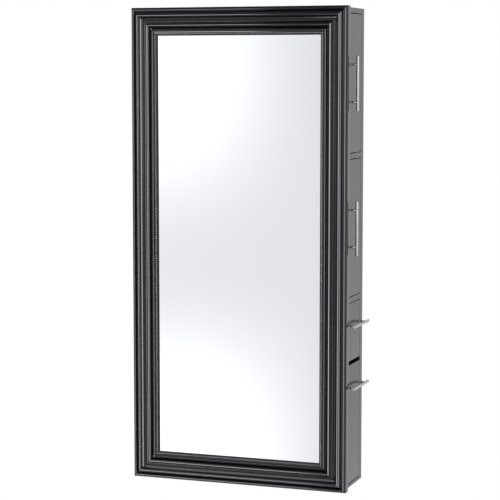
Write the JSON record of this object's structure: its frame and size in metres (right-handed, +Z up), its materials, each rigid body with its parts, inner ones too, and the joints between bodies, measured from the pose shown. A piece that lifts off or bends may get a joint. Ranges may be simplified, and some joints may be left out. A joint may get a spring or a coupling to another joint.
{
  "type": "salon styling station",
  "caption": "Wall-hung mirror in a wide moulded black frame on a shallow cabinet that opens at its right side: doors, a drawer and a tilt-out tool panel.",
  "frame": {"origin": "middle of the back panel's rear face, which lies on the wall", "axes": "+X to the right seen from the front, towards the doors; +Y into the wall; +Z up"},
  "size_m": [0.8165, 0.241, 1.676],
  "materials": {
    "black_laminate": "satin black melamine laminate on particle board",
    "black_lacquer": "satin black lacquer on moulded timber",
    "silvered_glass": "polished float glass, silvered behind",
    "raw_board": "raw fibreboard",
    "brushed_nickel": "brushed nickel plate",
    "zinc_steel": "bright zinc plate",
    "acetal": "natural acetal, turned",
    "black_plastic": "moulded black plastic",
    "powder_coat": "fine-textured black powder coat",
    "spun_aluminium": "spun and satin"
  },
  "bodies": {
    "root": {"front_panel": "black_laminate", "top_panel": "black_laminate", "bottom_panel": "black_laminate", "left_side_panel": "black_laminate", "rear_stile": "black_laminate", "back_panel": "black_laminate", "inner_partition": "black_laminate", "hanging_rail": "black_laminate", "divider_upper": "black_laminate", "divider_middle": "black_laminate", "drawer_deck": "black_laminate", "upper_shelf": "black_laminate", "lower_shelf": "black_laminate", "slide_packer": "black_laminate", "upper_pivot_bush": "acetal", "middle_pivot_bush": "acetal", "lower_pivot_bush": "acetal", "tool_pivot_bush_front": "acetal", "tool_pivot_bush_rear": "acetal", "frame_top": "black_lacquer", "frame_right": "black_lacquer", "frame_bottom": "black_lacquer", "frame_left": "black_lacquer", "mirror_backing": "raw_board", "mirror_glass": "silvered_glass", "upper_catch": "black_plastic", "lower_catch": "black_plastic", "stay_keeper": "black_plastic", "drawer_slide_outer_front": "zinc_steel", "drawer_slide_outer_rear": "zinc_steel"},
    "upper_door_body": {"upper_door": "black_laminate", "upper_door_top_pin": "zinc_steel", "upper_door_bottom_pin": "zinc_steel", "upper_door_pull": "brushed_nickel", "upper_door_strike": "zinc_steel"},
    "lower_door_body": {"lower_door": "black_laminate", "lower_door_top_pin": "zinc_steel", "lower_door_bottom_pin": "zinc_steel", "lower_door_pull": "brushed_nickel", "lower_door_strike": "zinc_steel"},
    "drawer_body": {"drawer_front": "black_laminate", "drawer_front_pull": "brushed_nickel", "drawer_side_front": "black_laminate", "drawer_side_rear": "black_laminate", "drawer_back": "black_laminate", "drawer_bottom": "black_laminate", "drawer_slide_inner_front": "zinc_steel", "drawer_slide_inner_rear": "zinc_steel"},
    "slide_middle_body": {"drawer_slide_middle_front": "zinc_steel", "drawer_slide_middle_rear": "zinc_steel"},
    "tool_panel_body": {"tool_panel": "black_laminate", "tool_pivot_pin_front": "zinc_steel", "tool_pivot_pin_rear": "zinc_steel", "tool_panel_pull": "brushed_nickel", "tool_tray": "powder_coat", "dryer_cup": "spun_aluminium", "iron_cup_outer": "spun_aluminium", "iron_cup_inner": "spun_aluminium", "quadrant_stay": "zinc_steel"}
  },
  "joints": [
    {"name": "upper_door_hinge", "type": "hinge", "parent": "root", "child": "upper_door_body", "pos_m": [0.3805, -0.0535, 0.575], "axis": [0, 0, 1], "range_deg": [0, 90]},
    {"name": "lower_door_hinge", "type": "hinge", "parent": "root", "child": "lower_door_body", "pos_m": [0.3805, -0.0535, 0.077], "axis": [0, 0, 1], "range_deg": [0, 90]},
    {"name": "drawer_slide", "type": "slide", "parent": "root", "child": "drawer_body", "axis": [1, 0, 0], "range_m": [0, 0.33]},
    {"name": "slide_middle_travel", "type": "slide", "parent": "root", "child": "slide_middle_body", "axis": [1, 0, 0], "range_m": [0, 0.165]},
    {"name": "tool_panel_tilt", "type": "hinge", "parent": "root", "child": "tool_panel_body", "pos_m": [0.3805, -0.103, -0.7975], "axis": [0, 1, 0], "range_deg": [0, 25]}
  ],
  "couplings": [
    {"joint": "slide_middle_travel", "follows": "drawer_slide", "ratio": 0.5}
  ]
}
